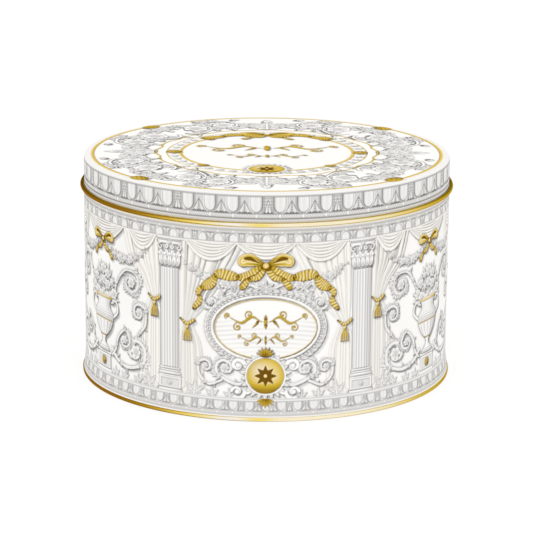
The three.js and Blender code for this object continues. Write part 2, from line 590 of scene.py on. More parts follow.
printed_tinplate, tin_shader = new_material("printed_tinplate", Coat_Weight=0.02, Coat_Roughness=0.2,
                                            Specular_IOR_Level=0.0)
tin_tree = printed_tinplate.node_tree
inks = place_group(printed_tinplate, print_inks, Enamel=(0.945, 0.93, 0.905, 1),
                   Cream_enamel=(0.91, 0.88, 0.825, 1), Gold_light=(0.84, 0.595, 0.05, 1),
                   Gold_deep=(0.16, 0.075, 0.004, 1))
for layer in LAYERS:
    reader = tin_tree.nodes.new("ShaderNodeAttribute")
    reader.attribute_name = layer
    tin_tree.links.new(reader.outputs["Fac"], inks.inputs[layer.capitalize()])
tin_tree.links.new(inks.outputs["Color"], tin_shader.inputs["Base Color"])
tin_tree.links.new(inks.outputs["Metallic"], tin_shader.inputs["Metallic"])
coat(printed_tinplate, tin_shader, Gloss=0.40, Gloss_change=0.08)

sheet = 0.4
group_steps = 72
cell = group_width / group_steps


def rolled_wall(name, low, high, start, groups):
    """A stretch of the body's sheet; its printed face is the first edge of its section"""
    section = [(wall_face, low), (wall_face, high), (wall_face - sheet, high), (wall_face - sheet, low)]
    return spun(name, section, group_steps, groups, cuts=round((high - low) / cell) - 1, start=start,
                arc=tau * groups / wall_groups)


def finish_print(piece, art, node, across, up, on_face, away, rows=1, closes=False):
    lay_flat(piece, across, up, on_face, rows, closes)
    print_on(piece, art, across, up, on_face, away)
    finish_piece(piece, printed_tinplate, "printed_tinplate", node)


def print_wall(piece, art, middle, rows=1, closes=False):
    """Prints a stretch of wall with artwork centred at this angle, then finishes the piece"""
    spots, angle, radius = corners(piece)
    finish_print(piece, art, "tin_body", angle_from(middle, angle) * wall_face, spots[:, 2],
                 np.abs(radius - wall_face) < on_face_within, from_axis(spots, radius), rows, closes)


def turned_by(way, angle):
    c, s = cos(angle), sin(angle)
    return np.array([c * way[0] - s * way[1], s * way[0] + c * way[1]])


def brush(art, line, half, rise=0.6, base=0.0, edge=0.4, rim=0.2, vein=0.0, tones=None, **inks):
    """One rounded stroke along a line, half wide to each side, with a dark rim about it; tones gives
    more ink by the place across, -1 to 1, and along, 0 to 1"""
    line = np.asarray(line, float)
    half = np.broadcast_to(np.asarray(half, float), (len(line),))
    reach = half.max() + rim + 0.3
    low, high = line.min(0) - reach, line.max(0) + reach
    first = [max(0, int((a - b) * art.fine)) for a, b in zip(low, (art.left, art.low))]
    last = [int((a - b) * art.fine) + 2 for a, b in zip(high, (art.left, art.low))]
    where = (slice(first[1], max(last[1], 0)), slice(first[0], max(last[0], 0)))
    u, v = art.u[where], art.v[where]
    if u.size == 0:
        return
    out = np.full(u.shape, 1e9)
    across, along, size = np.zeros(u.shape), np.zeros(u.shape), np.ones(u.shape)
    for i, (a, d) in enumerate(zip(line, np.diff(line, axis=0))):
        length = max(d @ d, 1e-12)
        t = np.clip(((u - a[0]) * d[0] + (v - a[1]) * d[1]) / length, 0, 1)
        du, dv = u - a[0] - t * d[0], v - a[1] - t * d[1]
        w = half[i] + (half[i + 1] - half[i]) * t
        far = np.hypot(du, dv)
        nearer = far - w < out
        out = np.where(nearer, far - w, out)
        side = np.sign(d[0] * dv - d[1] * du)
        across = np.where(nearer, side * far / np.maximum(w, 0.05), across)
        along = np.where(nearer, (i + t) / (len(line) - 1), along)
        size = np.where(nearer, w, size)
    soft = 0.8 / art.fine
    cover = np.clip(0.5 - out / soft, 0, 1)
    around = np.clip(0.5 + (rim - out) / soft, 0, 1)
    s = np.clip(across, -1, 1)
    ink = inks.get("ink", 0.0) + (tones(s, along) if tones else 0.0)
    ink = ink + vein * stroke(s * size, 0.1, soft) * (along > 0.04) * (along < 0.9)
    top = base + rise * dome(s) * np.clip(size / half.max(), 0.35, 1)
    if vein:
        top = top - 0.25 * rise * bell(s * size, 0.25)
    art.ink[where] += (np.maximum(art.ink[where], edge) - art.ink[where]) * around
    gold = inks.get("gold", 0.0)
    if not gold:
        art.gold[where] *= 1 - around
    art.lay(where, cover, top, ink, gold, inks.get("cream", 0.0))


def leaf_tones(s, along):
    """A leaf is darkest at its root and along one side"""
    return 0.32 * np.clip(1 - 1.9 * along, 0, 1) + 0.1 * np.clip(s, 0, 1)


def leaf(art, root, tip, width, bend=0.0, base=0.0, rise=0.5, vein=0.34, **more):
    """A plain leaf, widest a quarter of the way from root to tip, bent to one side"""
    root, tip = np.asarray(root, float), np.asarray(tip, float)
    middle = (root + tip) / 2 + turned_by(tip - root, pi / 2) * bend
    t = np.linspace(0, 1, 9)[:, None]
    line = (1 - t) ** 2 * root + 2 * t * (1 - t) * middle + t**2 * tip
    half = width * np.maximum(np.sin(pi * np.sqrt(t[:, 0])) ** 0.8, 0.04)
    brush(art, line, half, rise, base, vein=vein, tones=leaf_tones, **more)


def gold_fan(art, root, way, tall, base):
    """Seven small gold leaves spread from one root"""
    root = np.asarray(root, float)
    for lean in (-1.25, 1.25, -0.85, 0.85, -0.42, 0.42, 0):
        leaf(art, root, root + turned_by(way, lean) * tall, tall * 0.2, 0, base + 0.1 * (lean == 0),
             gold=1.0, edge=0.6, ink=0.28)


def once_round(art):
    """The same stretch of drawing repeated once round the body, as one artwork to draw on"""
    high = art.low + len(art.ink) / art.fine
    whole = Artwork(-pi * wall_face, pi * wall_face, art.low, high, art.fine)
    column = ((whole.u[0] - art.left) % art.width * art.fine).astype(int) % art.ink.shape[1]
    for name in (*LAYERS, "relief"):
        setattr(whole, name, getattr(art, name)[:, column])
    return whole


into_seam = 0.3
foot_low = seam_height - into_seam
foot_high = 14.4
foot_rules = ((3.9, 0.9, 0.3, 0.2), (4.4, 0.25, 0.3, 0.3), (6.0, 0.3, 0.4, 0.3),
              (12.5, 0.3, 0.35, 0.5), (13.2, 0.5, 0.03, 0.9), (13.9, 0.35, 0.36, 0.4))
foot_art = small_moulding(foot_low, foot_high, rounds=6.3, flats=12.3, pearl_row=5.2, rules=foot_rules)
bare_below = 3.1
foot_art.ink += np.where(foot_art.v < bare_below, -foot_art.ink, 0.02)
foot_art = once_round(foot_art)
for third in (-1, 0, 1):
    under_disc = (third * tau * wall_face / 3, foot_high - 0.3)
    gold_fan(foot_art, under_disc, (0, -1), tall=5.8, base=1.0)
foot_band = rolled_wall("foot_band", foot_low, foot_high, 0, wall_groups)
print_wall(foot_band, foot_art, 0, rows=8, closes=True)
# The sheet spreads a little to the foot, where it was flanged out into the seam
foot_spread = 1.4
spots, angle, radius = corners(foot_band)
spread = foot_spread * ((foot_high - spots[:, 2]) / (foot_high - foot_low)).clip(0, 1) ** 1.4
spots[:, :2] *= (1 + spread / radius)[:, None]
move_corners(foot_band, spots)


# The pictured wall: six bays round the body between fluted columns, an oval plaque and an urn of
# flowers in turn, each with curtains drawn aside. It is the same printed sheet as the mouldings, in
# grey and cream with gold on the bows, tassels, rules and bosses.
def course(points, steps):
    """A smooth line through the points, as an array of (across, up)"""
    p = np.asarray(points, float)
    if len(p) == 2:
        return p[0] + (p[1] - p[0]) * np.linspace(0, 1, steps)[:, None]
    p = np.vstack([2 * p[0] - p[1], p, 2 * p[-1] - p[-2]])
    t = np.linspace(0, len(p) - 3 - 1e-9, steps)
    i = t.astype(int)
    t = (t - i)[:, None]
    a, b, c, d = p[i], p[i + 1], p[i + 2], p[i + 3]
    bend = (2 * a - 5 * b + 4 * c - d) * t**2 + (3 * b - a - 3 * c + d) * t**3
    return 0.5 * (2 * b + (c - a) * t + bend)


def spiral(centre, radius, first, turns, way=1, steps=61, eye=0.2):
    t = np.linspace(0, 1, steps)
    r = radius * (1 - (1 - eye) * t)
    a = first + way * tau * turns * t
    return np.stack([centre[0] + r * np.cos(a), centre[1] + r * np.sin(a)], 1)


def heading(line, place, reach=1):
    """The direction of a line at one of its points"""
    last = len(line) - 1
    way = line[min(place + reach, last)] - line[max(place - reach, 0)]
    return way / (np.hypot(*way) + 1e-9)


def pointing(angle):
    return np.array([cos(angle), sin(angle)])


def ball(art, centre, radius, rise=0.5, base=0.0, **more):
    c = np.asarray(centre, float)
    brush(art, [c, c + (1e-3, 0)], radius, rise, base, **more)


def frond(art, points, width, lobes=6, base=0.5, sides=(1, -1), fat=1.5, edge=0.4):
    """An acanthus leaf: fingers that fan from a rib and curl back, smallest at the tip"""
    rib = course(points, 41)
    for i in range(lobes):
        t = 0.02 + 0.84 * i / (lobes - 1)
        place = int(t * 40)
        way = heading(rib, place)
        reach = width * (1.08 - 0.66 * t) * (0.8 + 0.25 * sin(pi * min(1, 2.2 * t)))
        for side in sides:
            for lean, share in ((1.15, 0.86), (0.62, 1.12)):
                tip = rib[place] + turned_by(way, side * (lean - 0.25 * t)) * reach * share
                leaf(art, rib[place], tip, reach * 0.17 * fat, -side * 0.3, base + 0.1 * (lean < 1),
                     0.45, edge=edge)
    end = rib[-1] + heading(rib, 40, 4) * width * 0.28
    leaf(art, rib[30], end, width * 0.13 * fat, 0, base + 0.25, 0.4, edge=edge)
    half = np.linspace(width * 0.09, width * 0.03, 34) + 0.08
    brush(art, rib[:34], half, 0.35, base + 0.3, edge, 0.13)


def palmette(art, root, way, tall, lobes=5):
    """A fan of acanthus leaves on one root, the middle one the tallest"""
    root, way = np.asarray(root, float), np.asarray(way, float)
    for lean in (-1.25, 1.25, -0.65, 0.65, 0):
        tip = root + turned_by(way, lean) * tall * (1 - 0.2 * abs(lean))
        bend = turned_by(way, lean * 0.5) * tall * 0.5
        frond(art, [root, root + bend, tip], tall * 0.36, lobes, 0.7, fat=1.9)


def rose(art, centre, radius, base=0.5, first=0.0):
    """A full-blown rose: broad outer petals, curled ones inside them and a tight heart"""
    c = np.asarray(centre, float)
    for ring, (count, out, size) in enumerate(((6, 0.62, 0.46), (5, 0.36, 0.40), (3, 0.16, 0.30))):
        for i in range(count):
            petal = c + radius * out * pointing(first + 0.7 * ring + tau * i / count)
            ball(art, petal, radius * size, 0.45 * size + 0.15, base + 0.22 * ring, rim=0.14,
                 ink=0.12 * ring)
    heart = spiral(c, radius * 0.3, first, 1.4, 1, 19, 0.1)
    brush(art, heart, 0.14, 0.2, base + 0.7, 0.42, 0.1, ink=0.1)


def daisy(art, centre, radius, petals=6, base=0.5, first=0.0):
    c = np.asarray(centre, float)
    for row in range(2):
        for i in range(petals):
            way = pointing(first + tau * (i + 0.5 * row) / petals) * radius * (1 - 0.38 * row)
            wide = radius * 1.45 / petals + 0.1
            leaf(art, c + way * 0.1, c + way, wide, 0, base + 0.15 * row, rim=0.15)
    ball(art, c, radius * 0.24, 0.5, base + 0.4, ink=0.1)


def winding(side, stem, heart, turns, way, steps, eye, joint, stem_steps):
    """A stem that winds into a spiral about its heart, mirrored on side -1. It runs into the spiral
    through two of its points, joint and twice joint. Gives the heart, the spiral's radius, the
    spiral and the whole path."""
    mirror = np.array([side, 1.0])
    points = [mirror * np.asarray(p, float) for p in stem]
    c = mirror * np.asarray(heart, float)
    start = points[-1] - c
    radius = np.hypot(*start)
    coil = spiral(c, radius, np.arctan2(start[1], start[0]), turns, way * side, steps, eye)
    stalk = course([*points, coil[joint], coil[2 * joint]], stem_steps)
    return c, radius, coil, np.vstack([stalk[:-1], coil[2 * joint:]])


def leafy_scroll(art, side, stem, heart, turns, way, width, leaves):
    """Scrolling foliage: a stem that winds into a spiral about a rose, with acanthus on its back"""
    c, radius, coil, path = winding(side, stem, heart, turns, way, 73, 0.2, 6, 50)
    sense = way * side
    size = radius * leaves
    for place, lean in ((4, 1), (16, -1), (28, 1)):
        p, along = path[place], heading(path, place, 3)
        tip = p + turned_by(along, lean * 0.85) * size * 0.8
        frond(art, [p, p + turned_by(along, lean * 0.35) * size * 0.42, tip], size * 0.36, 5)
    back = coil + (coil - c) * np.linspace(0, 0.45, 73)[:, None]
    for first, last, share in ((24, 42, 0.62), (12, 31, 0.74), (0, 19, 0.86)):
        third = (last - first) // 3
        rib = back[[first, first + third, first + 2 * third, last]]
        frond(art, rib, size * share, 6, 0.55, (-sense,))
    inside = coil + (c - coil) * np.linspace(0.1, 0.25, 73)[:, None]
    frond(art, inside[[6, 14, 22, 30]], size * 0.42, 5, 0.5, (sense,))
    half = width * np.interp(np.linspace(0, 1, len(path)), [0, 0.25, 1], [1.0, 1.0, 0.55])
    brush(art, path, half, 0.65, 0.85, 0.48, 0.18,
          tones=lambda s, along: 0.2 * stroke(s - 0.1, 0.14, 0.2))
    for place in (12, 30):
        for lean in (-0.5, 0.5, 0.0):
            tip = path[place] + turned_by(heading(path, place), lean) * width * 3.4
            leaf(art, path[place], tip, width * 0.75, 0, 1.05)
    rose(art, c, radius * 0.42, 1.3)


def ribbon(art, points, half, folds, base):
    """A gold band in fine pleats, gathered at even distances and full between them"""
    line = course(points, 61)
    pleats = round(np.hypot(*np.diff(line, axis=0).T).sum() / 1.7)

    def gathers(s, along):
        full = np.abs(np.sin(pi * (folds * along)))
        pleat = 0.5 + 0.5 * np.cos(tau * pleats * along - 1.5 * s)
        return np.clip(0.02 + 0.5 * (1 - full) ** 3 + 0.36 * pleat + 0.2 * s**4, 0, 1)

    width = half * (0.4 + 0.6 * np.abs(np.sin(pi * (folds * np.linspace(0, 1, 61)))) ** 0.7)
    brush(art, line, width, 0.3, base, 0.55, 0.15, tones=gathers, gold=1.0)


def bow(art, at, size, base=1.0):
    """A gold bow: two full loops that gather into a knot, and two short tails"""
    at = np.asarray(at, float)

    def gathers(s, along):
        pulled = 0.55 * np.clip((along - 0.45) / 0.55, 0, 1) ** 1.3
        pleat = 0.26 * np.clip(along + 0.1, 0, 0.6) * (1 + np.cos(11 * s))
        return np.clip(pulled + pleat + 0.2 * s**4 + 0.2 * np.clip(1 - 7 * along, 0, 1), 0, 1)

    for side in (-1, 1):
        m = np.array([side, 1.0]) * size
        tail = [at + m * p for p in ((0.05, -0.1), (0.45, -0.65), (0.95, -0.8), (1.35, -1.25))]
        ribbon(art, tail, size * 0.2, 1.5, base)
        loop = course([at + m * p for p in ((1.5, 0.12), (1.1, 0.34), (0.55, 0.24), (0, 0))], 31)
        half = size * np.interp(np.linspace(0, 1, 31), (0, 0.18, 0.45, 0.8, 1),
                                (0.1, 0.36, 0.40, 0.17, 0.12))
        brush(art, loop, half, 0.5, base + 0.2, 0.6, 0.15, tones=gathers, gold=1.0)
        hollow = course([at + m * p for p in ((1.22, 0.42), (0.9, 0.42), (0.45, 0.2))], 15)
        wide = size * np.interp(np.linspace(0, 1, 15), (0, 0.4, 1), (0.05, 0.10, 0.02))
        brush(art, hollow, wide, 0.0, base + 0.1, 0.8, 0.1, gold=1.0, ink=0.8)
    ball(art, at, size * 0.2, 0.8, base + 0.8, edge=0.7, rim=0.25, gold=1.0,
         tones=lambda s, along: 0.4 * s**2)


def tassel(art, at, long):
    """A gold tassel under the knot of a curtain tie"""
    base = 1.2
    for i in range(7):
        x = (i - 3) * 0.55
        strand = course([at - (x * 0.4, 2.6), at - (x * 1.3, long * 0.6), at - (x * 1.5, long)], 9)
        brush(art, strand, 0.34, 0.4, base, 0.5, 0.12, ink=0.12 + 0.16 * (i % 2), gold=1.0)
    ball(art, at - (0, 1.4), 1.35, 0.6, base + 0.3, edge=0.5, ink=0.08, gold=1.0)
    ball(art, at, 0.9, 0.5, base + 0.4, edge=0.5, ink=0.1, gold=1.0)


def boss(art, at, radius, petals):
    """A gold boss: two rings of petals about a button, in a beaded rim"""
    at = np.asarray(at, float)
    gold = dict(gold=1.0, edge=0.65)
    ball(art, at, radius, 0.15, 1.0, ink=0.45, rim=0.3, **gold)
    for i in range(petals * 3):
        bead = at + radius * 0.93 * pointing(tau * i / (petals * 3))
        ball(art, bead, radius * 0.085, 0.3, 1.2, rim=0.1, **gold)
    for row, (out, into, wide) in enumerate(((0.84, 0.3, 2.4), (0.55, 0.12, 1.9))):
        for i in range(petals):
            way = pointing(tau * (i + 0.5 * row) / petals) * radius
            leaf(art, at + way * into, at + way * out, radius * wide / petals, 0, 1.3 + 0.3 * row,
                 vein=0.25, ink=0.12, rim=0.12, **gold)
    ball(art, at, radius * 0.2, 0.6, 1.9, rim=0.15, **gold)


def flower_disc(art, at, radius):
    """A gold disc in a grey frame of leaves, brighter to its upper left, with a dark flower on it"""
    at = np.asarray(at, float)
    for i in range(22):
        way = turned_by((0, 1), tau * i / 22) * radius
        leaf(art, at + way * 0.95, at + way * (1.32 + 0.06 * (i % 2)), radius * 0.12, 0, 0.9, edge=0.55)
    ball(art, at, radius * 1.09, 0.5, 1.0, edge=0.55)
    ball(art, at, radius * 0.98, 0.15, 1.2, gold=1.0, edge=0.6)
    u, v = (art.u - at[0]) / radius, (art.v - at[1]) / radius
    disc = np.hypot(u, v) < 0.97
    art.ink[disc] = (0.05 + 0.2 * np.hypot(u, v) ** 3 + 0.32 * bell(v + 0.85, 0.35))[disc]
    art.gold[disc] = (1 - 0.3 * bell(np.hypot(u + 0.4, v - 0.4), 0.4))[disc]
    for row, (out, into, wide) in enumerate(((0.56, 0.2, 0.09), (0.34, 0.1, 0.07))):
        for i in range(8):
            way = turned_by((0, 1), tau * (i + 0.5 * row) / 8) * radius
            leaf(art, at + way * into, at + way * out, radius * wide, 0, 1.3 + 0.2 * row, 0.3, 0.3,
                 gold=1.0, ink=0.6, edge=0.7, rim=0.15)
    ball(art, at, radius * 0.1, 0.4, 1.9, gold=1.0, edge=0.6)


def medallion(art, at, radius):
    """The flower disc with two curled brackets to each side and a gold fan on its top"""
    at = np.asarray(at, float)
    for side in (-1, 1):
        for low, reach, curl, way in ((-0.9, 1.5, 0.42, 1), (0.55, 1.45, 0.36, -1)):
            centre = at + np.array([side * reach, low]) * radius
            start = centre + np.array([-side * curl, 0]) * radius
            hook = spiral(centre, curl * radius, pi if side > 0 else 0, 1.25, way * side, 31)
            root = at + np.array([side * 0.8, low * 0.9]) * radius
            line = np.vstack([course([root, (root + start) / 2 + (0, low), start], 12)[:-1], hook])
            brush(art, line, np.linspace(0.13, 0.07, len(line)) * radius, 0.6, 0.9, 0.5)
            ball(art, centre, radius * 0.13, 0.6, 1.1, edge=0.5)
    flower_disc(art, at, radius)
    gold_fan(art, at + (0, radius * 1.1), (0, 1), radius * 0.5, 2.0)


def drapes(art, side, inner, tie):
    """A cream curtain hung from the top, drawn aside into a gold tie and let fall to the ground"""
    folds, outer, hem = 11, 53.0, 19.0
    for i in range(folds):
        t = np.clip((i + 0.4 * sin(4.3 * i)) / (folds - 1), 0, 1)
        top = inner + (outer - inner) * t
        held = tie[0] - 4.4 + 6.6 * t
        foot = tie[0] - 10.5 + 16.0 * t
        sag = (1 - t) * 7.0
        points = [(top, bay_high + 2), (top + (held - top) * 0.3, bay_high - 15 + 2 * t - sag * 0.2),
                  (top + (held - top) * 0.78, tie[1] + 16 - sag * 0.6), (held, tie[1]),
                  (held + (foot - held) * 0.75, tie[1] - 15), (foot, hem - 2 + 3 * cos(7 * t))]
        line = course(points, 45) * (side, 1)
        half = np.interp(np.linspace(0, 1, 45), [0, 0.45, 0.60, 0.75, 1], [2.9, 1.9, 0.65, 1.5, 2.1])
        half = half * (0.7 + 0.55 * sin(2.4 * i + 1) ** 2)
        deep = (0.1, 0.7, 0.2, 0.4)[i % 4]

        def pleat(s, along):
            shade = 0.13 * np.clip(s + 0.2, 0, 1) + 0.05 * np.clip(-s, 0, 1)
            return shade + deep * np.clip((s - 0.4) / 0.6, 0, 1) * np.clip(1 - 2.3 * along, 0, 1)

        brush(art, line, half, 0.6, 0.15 + 0.05 * sin(3.1 * i), 0.24, 0.14, tones=pleat, cream=0.8)
    knot = np.array([side * (tie[0] - 1), tie[1] - 1.5])
    tassel(art, knot, 10)
    ribbon(art, [knot + (-4.6, 3.4), knot + (0, 0.6), knot + (4.6, 3.0)], 1.1, 0.6, 1.2)


def swag(art, left, right, deep, folds):
    """Cream cloth hung between two points in nested folds, the lowest over the rest"""
    left, right = np.asarray(left, float), np.asarray(right, float)
    shallow = 2

    def lower_edge(s, along):
        return 0.25 * np.clip((s - 0.3) / 0.7, 0, 1) * (1 - np.abs(2 * along - 1))

    t = np.linspace(0, 1, 31)
    for k in range(folds):
        pinch = 0.04 + 0.03 * k / folds
        line = left + (right - left) * (pinch + (1 - 2 * pinch) * t)[:, None]
        line[:, 1] -= (shallow + (deep - shallow) * k / (folds - 1)) * (1 - np.abs(2 * t - 1) ** 2.1)
        half = (0.35 + 0.65 * np.sin(pi * t)) * (deep - shallow) / folds * 0.78
        brush(art, line, half, 0.8, 0.5 + 0.06 * k, 0.4, 0.18, tones=lower_edge, cream=0.8)


def festoon(art, left, right, seed, full=3.0, blooms=8):
    """A hanging rope of roses, daisies and leaves, fullest at its middle"""
    draw = np.random.default_rng(seed)
    left, right = np.asarray(left, float), np.asarray(right, float)
    drop = 9

    def at(t):
        return left + (right - left) * t - np.array([0, drop * 4 * t * (1 - t)])

    for t in np.linspace(0.02, 0.98, 3 * blooms + 3):
        size = full * (0.45 + 0.75 * sin(pi * t))
        for _ in range(3):
            tip = at(t) + pointing(draw.uniform(0, tau)) * size * draw.uniform(1.15, 1.6)
            leaf(art, at(t), tip, size * 0.27, draw.uniform(-0.2, 0.2), 0.7)
    for k, t in enumerate(np.linspace(0, 1, blooms + 2)[1:-1]):
        size = full * (0.45 + 0.5 * sin(pi * t))
        spot = at(t) + draw.uniform(-0.4, 0.4, 2)
        (daisy if k % 2 else rose)(art, spot, size, base=1.1, first=draw.uniform(0, 6))


def slab(art, centre, half, low, high, relief, ink, edge=0.45):
    """A flat block of masonry with a drawn outline"""
    left, right = centre - half, centre + half
    out = np.maximum(np.maximum(left - art.u, art.u - right), np.maximum(low - art.v, art.v - high))
    art.darken(np.abs(out - 0.125) < 0.125, edge)
    art.lay(everywhere, out < 0, relief, ink)


def drum(art, centre, half, low, high, ink=0.1, torus=0.0, flutes=0):
    """One turned course of a column, round from side to side; torus swells its profile"""
    t = np.clip((art.v - low) / (high - low), 0, 1)
    x = art.u - centre
    h = half + torus * (dome(2 * t - 1) - 1)
    s = np.clip(x / h, -1, 1)
    turn = np.arcsin(s)
    tone = ink + 0.20 * np.clip(s - 0.2, 0, 1) + 0.16 * np.clip(-s - 0.55, 0, 1)
    if flutes:
        wave = 2 * flutes * turn
        tone = tone + 0.24 * np.clip(np.cos(wave) - 0.1, 0, 1) + 0.05 * np.sign(np.sin(wave))
    if torus:
        tone = tone + 0.22 * np.clip(1 - 2 * t, 0, 1)
    rows = (art.v > low) & (art.v < high)
    art.lay(everywhere, rows & (np.abs(x) < h), 0.9 * np.cos(turn) + 0.1, tone)
    sides = rows & (np.abs(np.abs(x) - h - 0.12) < 0.14)
    lips = (np.abs(x) < h) & ((np.abs(art.v - low) < 0.13) | (np.abs(art.v - high) < 0.13))
    art.darken(sides | lips, 0.5)


def column(art, centre):
    """A fluted column on a panelled plinth, with a leafy capital under a plain abacus"""
    foot, head = bay_low, bay_high
    drum(art, centre, 8.6, foot, foot + 1.6, 0.06)
    slab(art, centre, 7.9, foot + 1.7, foot + 9.0, 0.8, 0.10)
    slab(art, centre, 6.3, foot + 2.9, foot + 7.8, 0.6, 0.17, 0.4)
    daisy(art, (centre, foot + 5.35), 2.1, 6, 0.6)
    for half, low, high, torus in ((8.5, 9.1, 10.3, 0), (8.2, 10.3, 12.6, 0.8), (7.2, 12.6, 13.7, 0),
                                   (7.5, 13.7, 15.1, 0.5)):
        drum(art, centre, half, foot + low, foot + high, 0.08, torus)
    drum(art, centre, 6.6, foot + 15.1, head - 18.6, 0.10, flutes=10)
    drum(art, centre, 7.1, head - 18.6, head - 17.4, 0.1, 0.5)
    drum(art, centre, 6.4, head - 17.4, head - 4.2, 0.28)
    root = head - 17.2
    for x in (-5.4, 5.4, -1.8, 1.8):
        upper_tip = (centre + x * 1.35, root + 11.2)
        leaf(art, (centre + x * 0.85, root + 3), upper_tip, 1.7, 0, 1.0, edge=0.5)
    for x in (-6, 6, -3, 3, 0):
        leaf(art, (centre + x * 0.9, root), (centre + x * 1.2, root + 7.4), 1.75, 0, 1.3, edge=0.52)
        ball(art, (centre + x * 1.2, root + 6.9), 1.0, 0.4, 1.5)
    for side in (-1, 1):
        for x, z, radius, way in ((6.6, 11.2, 1.9, -1), (2.2, 11.4, 1.4, 1)):
            curl = spiral((centre + side * x, root + z), radius, pi / 2, 1.1, way * side, 31)
            brush(art, curl, np.linspace(0.55, 0.3, 31), 0.5, 1.4)
    drum(art, centre, 9.0, head - 4.0, head - 2.0, 0.05)
    drum(art, centre, 8.4, head - 2.0, head - 0.9, 0.18)
    drum(art, centre, 9.6, head - 0.9, head + 0.4, 0.04)
    daisy(art, (centre, head - 3.2), 1.9, 5, 1.2)


def tuft(art, x, tall, lean):
    """A low acanthus plant on the ground"""
    for k in (-1, 1, 0):
        way = pointing(pi / 2 + lean + k * 0.62) * tall * (0.85 if k else 1.0)
        root = np.array([x - 0.5 * k, bay_low + 0.2])
        tip = root + way - (0, abs(k) * tall * 0.1)
        frond(art, [root, root + way * 0.5, tip], tall * 0.38, 5, 0.1, fat=1.3, edge=0.22)


def washed(art):
    """Soft grey cloud behind the picture"""
    u, v = art.u, art.v
    across, up = np.sin(u / 11 + 1.3 * np.sin(v / 17)), np.sin(v / 13 + 1.1 * np.sin(u / 19))
    art.ink[:] = 0.04 * (0.5 + 0.25 * across + 0.25 * up)


def plaque(art, centre, a, b):
    """A bare oval plaque with a gold rule, a moulded and beaded frame and a wreath of bay leaves. The
    frame's members are drawn by the distance d from the plaque's edge."""
    u, v = art.u - centre[0], art.v - centre[1]
    share = np.hypot(u / a, v / b)
    d = (share - 1) * np.maximum(share, 1e-3) / np.maximum(np.hypot(u / a**2, v / b**2), 1e-6)
    angle = np.arctan2(v / b, u / a)
    girth = tau * sqrt((a * a + b * b) / 2)
    pairs = int(girth / 6.2)
    for i in range(2 * pairs):
        t = -pi / 2 + pi * (i + 0.5) / pairs
        climb = 1 if cos(t) > 0 else -1
        p = np.asarray(centre) + ((a + 4.4) * cos(t), (b + 4.4) * sin(t))
        way = np.array([-(a + 4.4) * sin(t), (b + 4.4) * cos(t)]) * climb
        way = way / np.hypot(*way)
        for lean in (-0.62, 0.62, 0.0):
            root = p - way * 1.4 + turned_by(way, pi / 2) * lean * 0.8
            tip = p + turned_by(way, lean) * 4.3
            leaf(art, root, tip, 1.15, 0.1 * lean, 1.0 + 0.1 * (lean == 0), edge=0.46)
    sunny = np.cos(angle - 2.2)
    hollow = np.clip(-sunny, 0, 1)
    t = np.clip((d - 1.05) / 1.95, 0, 1)
    beads = 0.5 + 0.5 * np.cos(angle * int(girth / 2.1))
    field = 0.12 * bell(v + 0.35 * b * np.cos(u / a * 1.5), 0.5 * b)
    field = field * (0.5 + 0.5 * np.cos(v * 2.2 + u * u / 160))
    rolled = 0.02 + 0.3 * np.clip((1 - 2 * t) * sunny, 0, 1)
    far_inside = -99
    for inner, outer, relief, ink, gold in (
        (far_inside, 0.1, 0.8, field, 0),
        (0.0, 0.75, 1.3, 0.16 + 0.18 * hollow, 1),
        (0.75, 1.05, 1.0, 0.6, 0),
        (1.05, 3.0, 1.2 + 0.7 * np.sin(pi * t), rolled, 0),
        (3.0, 3.25, 0.9, 0.55, 0),
        (3.25, 4.25, 1.2, 0.45 - 0.45 * beads, 0),
        (4.25, 4.5, 0.9, 0.6, 0),
    ):
        past_inner = np.clip(0.5 + (d - inner) * art.fine, 0, 1)
        cover = past_inner * np.clip(0.5 + (outer - d) * art.fine, 0, 1)
        art.lay(everywhere, cover, relief, ink, gold)


def flourish(art, centre, size, ink=0.32, edge=0.45):
    """A gold pen flourish: mirrored curls to both sides of a small diamond"""
    c = np.asarray(centre, float)
    pen = dict(rise=0.2, base=0.9, edge=edge, rim=0.12, ink=ink, gold=1.0)
    unit = size / 16
    for side in (-1, 1):
        m = np.array([side, 1.0]) * unit
        line = course([c + m * p for p in ((1.6, 0), (5.6, 2.0), (9.9, -0.6), (14.4, 1.4))], 40)
        brush(art, line, unit * (0.18 + 0.42 * np.sin(np.linspace(0, pi, 40)) ** 2), **pen)
        for x, y, radius, first, way in ((6.7, 3.0, 1.9, -1.4, 1), (11.5, -2.4, 1.8, 1.4, -1),
                                         (15.7, 2.2, 1.3, -1.2, 1)):
            start = first if side > 0 else pi - first
            curl = spiral(c + m * (x, y), radius * unit, start, 1.15, way * side, 31, 0.12)
            brush(art, curl, np.linspace(0.2, 0.42, 31) * unit, **pen)
        leaf(art, c + m * (2.9, 0.6), c + m * (5.4, -2.6), 0.55 * unit, 0.1, vein=0.2, **pen)
    for y in (3.1, -3.1):
        leaf(art, c + (0, y * unit / 4), c + (0, y * unit), 0.7 * unit, 0, vein=0.2, **pen)
    ball(art, c, 0.85 * unit, **pen)


